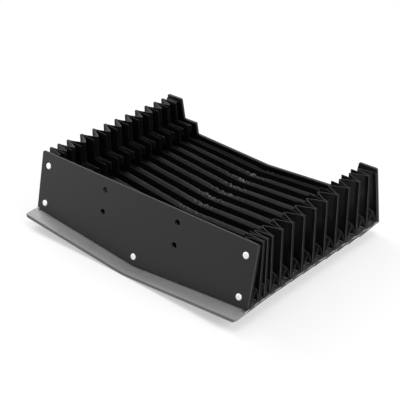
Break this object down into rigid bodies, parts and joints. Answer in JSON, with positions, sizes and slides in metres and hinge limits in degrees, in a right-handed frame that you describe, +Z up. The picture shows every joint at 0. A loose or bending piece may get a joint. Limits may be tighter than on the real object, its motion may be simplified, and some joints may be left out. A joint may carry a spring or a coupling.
{
  "type": "u-shaped bellows cover with steel lamellae",
  "caption": "U-shaped pleated bellows cover with overlapping stainless lamellae on its roofed face, a closed front plate and a notched back plate; it draws out and closes along its guide.",
  "frame": {"origin": "middle of the cover's underside, at the height of the lamellae's lowest edge", "axes": "+X across the cover, to the right seen from the closed front plate; +Y from the front plate to the notched back plate, along the travel; +Z up, out of the channel"},
  "size_m": [0.3122, 0.2564, 0.0873],
  "materials": {
    "plate_paint": "satin",
    "frame_plastic": "matte",
    "coated_fabric": "satin",
    "lamella_steel": "brushed",
    "rivet_aluminium": "satin"
  },
  "bodies": {
    "front_end": {"front_plate": "plate_paint", "front_end_frame": "frame_plastic", "front_rivets": "rivet_aluminium", "pleat_01": "coated_fabric"},
    "fold_01": {"frame_01": "frame_plastic", "lamella_01": "lamella_steel", "pleat_02": "coated_fabric"},
    "fold_02": {"frame_02": "frame_plastic", "lamella_02": "lamella_steel", "pleat_03": "coated_fabric"},
    "fold_03": {"frame_03": "frame_plastic", "lamella_03": "lamella_steel", "pleat_04": "coated_fabric"},
    "fold_04": {"frame_04": "frame_plastic", "lamella_04": "lamella_steel", "pleat_05": "coated_fabric"},
    "fold_05": {"frame_05": "frame_plastic", "lamella_05": "lamella_steel", "pleat_06": "coated_fabric"},
    "fold_06": {"frame_06": "frame_plastic", "lamella_06": "lamella_steel", "pleat_07": "coated_fabric"},
    "fold_07": {"frame_07": "frame_plastic", "lamella_07": "lamella_steel", "pleat_08": "coated_fabric"},
    "fold_08": {"frame_08": "frame_plastic", "lamella_08": "lamella_steel", "pleat_09": "coated_fabric"},
    "fold_09": {"frame_09": "frame_plastic", "lamella_09": "lamella_steel", "pleat_10": "coated_fabric"},
    "fold_10": {"frame_10": "frame_plastic", "lamella_10": "lamella_steel", "pleat_11": "coated_fabric"},
    "fold_11": {"frame_11": "frame_plastic", "lamella_11": "lamella_steel", "pleat_12": "coated_fabric"},
    "fold_12": {"frame_12": "frame_plastic", "lamella_12": "lamella_steel", "pleat_13": "coated_fabric"},
    "back_end": {"back_plate": "plate_paint", "back_end_frame": "frame_plastic", "back_rivets": "rivet_aluminium", "lamella_13": "lamella_steel"}
  },
  "joints": [
    {"name": "pleat_01_slide", "type": "slide", "parent": "front_end", "child": "fold_01", "axis": [0, 1, 0], "range_m": [-0.00142, 0.00121], "deforming": ["pleat_01"]},
    {"name": "pleat_02_slide", "type": "slide", "parent": "fold_01", "child": "fold_02", "axis": [0, 1, 0], "range_m": [-0.00147, 0.00125], "deforming": ["pleat_02"]},
    {"name": "pleat_03_slide", "type": "slide", "parent": "fold_02", "child": "fold_03", "axis": [0, 1, 0], "range_m": [-0.00305, 0.0026], "deforming": ["pleat_03"]},
    {"name": "pleat_04_slide", "type": "slide", "parent": "fold_03", "child": "fold_04", "axis": [0, 1, 0], "range_m": [-0.01099, 0.00937], "deforming": ["pleat_04"]},
    {"name": "pleat_05_slide", "type": "slide", "parent": "fold_04", "child": "fold_05", "axis": [0, 1, 0], "range_m": [-0.01281, 0.01092], "deforming": ["pleat_05"]},
    {"name": "pleat_06_slide", "type": "slide", "parent": "fold_05", "child": "fold_06", "axis": [0, 1, 0], "range_m": [-0.01291, 0.011], "deforming": ["pleat_06"]},
    {"name": "pleat_07_slide", "type": "slide", "parent": "fold_06", "child": "fold_07", "axis": [0, 1, 0], "range_m": [-0.01291, 0.011], "deforming": ["pleat_07"]},
    {"name": "pleat_08_slide", "type": "slide", "parent": "fold_07", "child": "fold_08", "axis": [0, 1, 0], "range_m": [-0.01291, 0.011], "deforming": ["pleat_08"]},
    {"name": "pleat_09_slide", "type": "slide", "parent": "fold_08", "child": "fold_09", "axis": [0, 1, 0], "range_m": [-0.01253, 0.01068], "deforming": ["pleat_09"]},
    {"name": "pleat_10_slide", "type": "slide", "parent": "fold_09", "child": "fold_10", "axis": [0, 1, 0], "range_m": [-0.01206, 0.01028], "deforming": ["pleat_10"]},
    {"name": "pleat_11_slide", "type": "slide", "parent": "fold_10", "child": "fold_11", "axis": [0, 1, 0], "range_m": [-0.01126, 0.00959], "deforming": ["pleat_11"]},
    {"name": "pleat_12_slide", "type": "slide", "parent": "fold_11", "child": "fold_12", "axis": [0, 1, 0], "range_m": [-0.00936, 0.00797], "deforming": ["pleat_12"]},
    {"name": "pleat_13_slide", "type": "slide", "parent": "fold_12", "child": "back_end", "axis": [0, 1, 0], "range_m": [-0.00527, 0.00449], "deforming": ["pleat_13"]}
  ],
  "couplings": [
    {"joint": "pleat_01_slide", "follows": "pleat_07_slide", "ratio": 0.11},
    {"joint": "pleat_02_slide", "follows": "pleat_07_slide", "ratio": 0.1139},
    {"joint": "pleat_03_slide", "follows": "pleat_07_slide", "ratio": 0.2363},
    {"joint": "pleat_04_slide", "follows": "pleat_07_slide", "ratio": 0.8513},
    {"joint": "pleat_05_slide", "follows": "pleat_07_slide", "ratio": 0.9923},
    {"joint": "pleat_06_slide", "follows": "pleat_07_slide", "ratio": 1},
    {"joint": "pleat_08_slide", "follows": "pleat_07_slide", "ratio": 1},
    {"joint": "pleat_09_slide", "follows": "pleat_07_slide", "ratio": 0.9706},
    {"joint": "pleat_10_slide", "follows": "pleat_07_slide", "ratio": 0.9342},
    {"joint": "pleat_11_slide", "follows": "pleat_07_slide", "ratio": 0.8722},
    {"joint": "pleat_12_slide", "follows": "pleat_07_slide", "ratio": 0.725},
    {"joint": "pleat_13_slide", "follows": "pleat_07_slide", "ratio": 0.4082}
  ]
}
